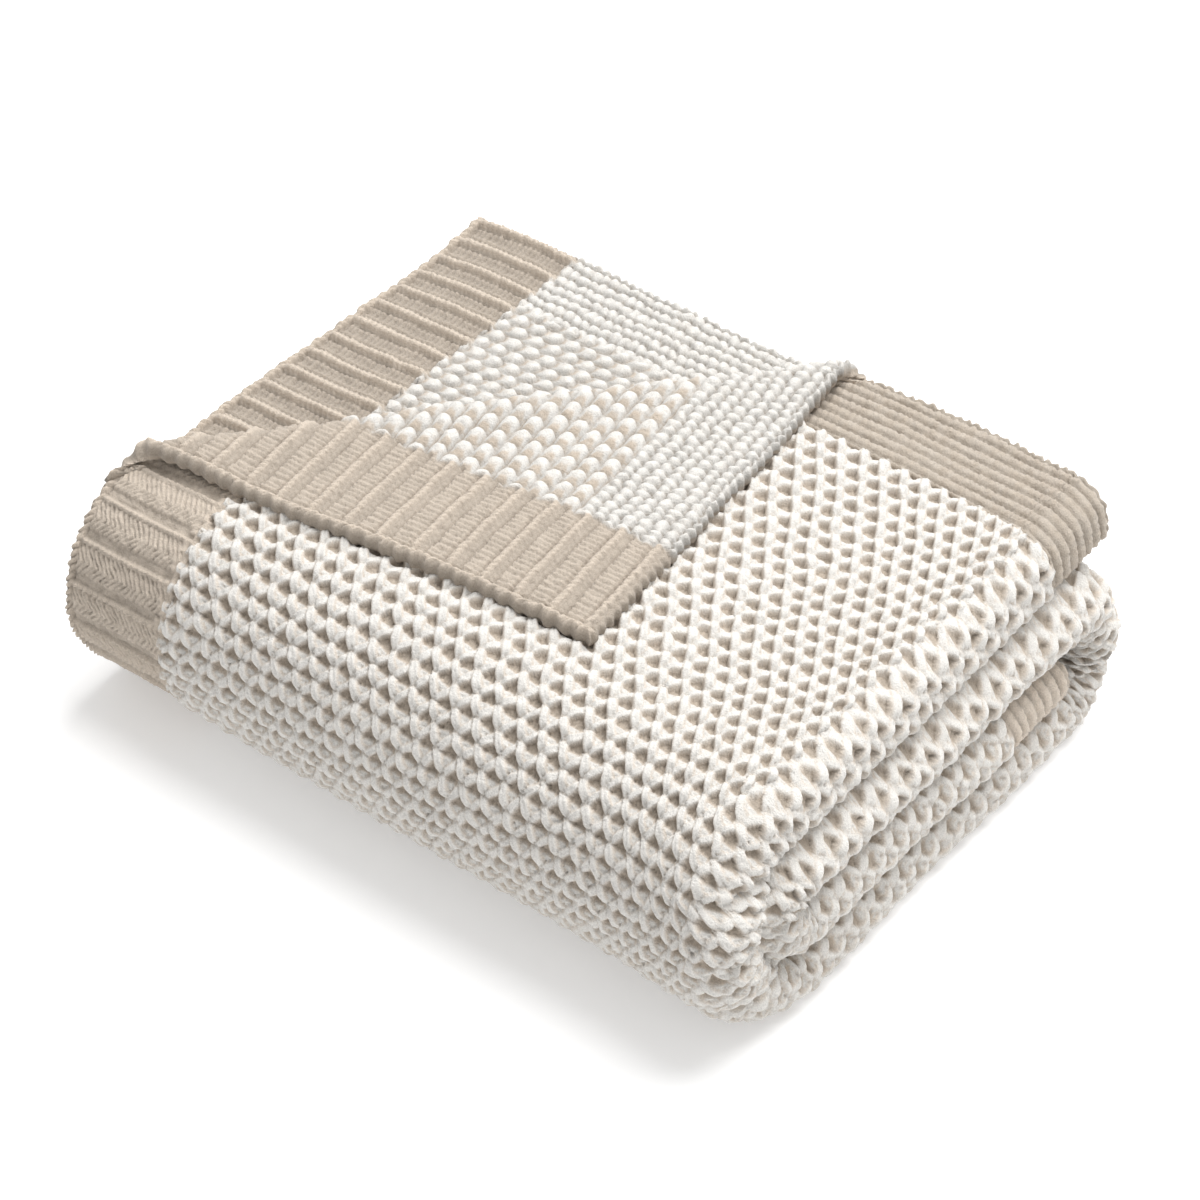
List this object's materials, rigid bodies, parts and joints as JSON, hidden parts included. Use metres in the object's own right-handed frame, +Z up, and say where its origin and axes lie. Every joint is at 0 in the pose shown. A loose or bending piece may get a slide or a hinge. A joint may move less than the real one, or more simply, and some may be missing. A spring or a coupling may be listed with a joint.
{
  "type": "folded throw blanket",
  "caption": "Chunky two-tone knit throw folded into a soft block, ribbed hem bands and ridged side bands, a top corner turned back along a diagonal crease.",
  "frame": {"origin": "middle of the base, the flat underside that the folded throw rests on", "axes": "+X from the hem end to the folded end, +Y from the wrapped long side to the open long side, +Z up"},
  "size_m": [0.41, 0.325, 0.1318],
  "materials": {
    "field_knit": "matte",
    "hem_knit": "matte",
    "side_knit": "matte"
  },
  "bodies": {
    "folded_stack": {"panel_1_hem_band": "hem_knit", "panel_1_side_band": "side_knit", "panel_1_field": "field_knit", "panel_1_inner_side_band": "side_knit", "panel_4_hem_band": "hem_knit", "panel_4_side_band": "side_knit", "panel_4_field": "field_knit", "panel_4_inner_side_band": "side_knit", "panel_3_side_band": "side_knit", "panel_3_field": "field_knit", "panel_3_inner_side_band": "side_knit", "panel_2_side_band": "side_knit", "panel_2_field": "field_knit", "panel_2_inner_side_band": "side_knit", "fold_1_2_side_band": "side_knit", "fold_1_2_field": "field_knit", "fold_1_2_inner_side_band": "side_knit", "fold_3_4_side_band": "side_knit", "fold_3_4_field": "field_knit", "fold_3_4_inner_side_band": "side_knit", "fold_2_3_side_band": "side_knit", "fold_2_3_field": "field_knit", "fold_2_3_inner_side_band": "side_knit", "flap_crease": "field_knit"},
    "corner_flap": {"flap_hem_band": "hem_knit", "flap_side_band": "side_knit", "flap_field": "field_knit"}
  },
  "joints": [
    {"name": "corner_turn", "type": "hinge", "parent": "folded_stack", "child": "corner_flap", "pos_m": [-0.205, -0.1125, 0.1244], "axis": [-0.6727, -0.7399, 0], "range_deg": [0, 180], "deforming": ["flap_crease"]}
  ]
}
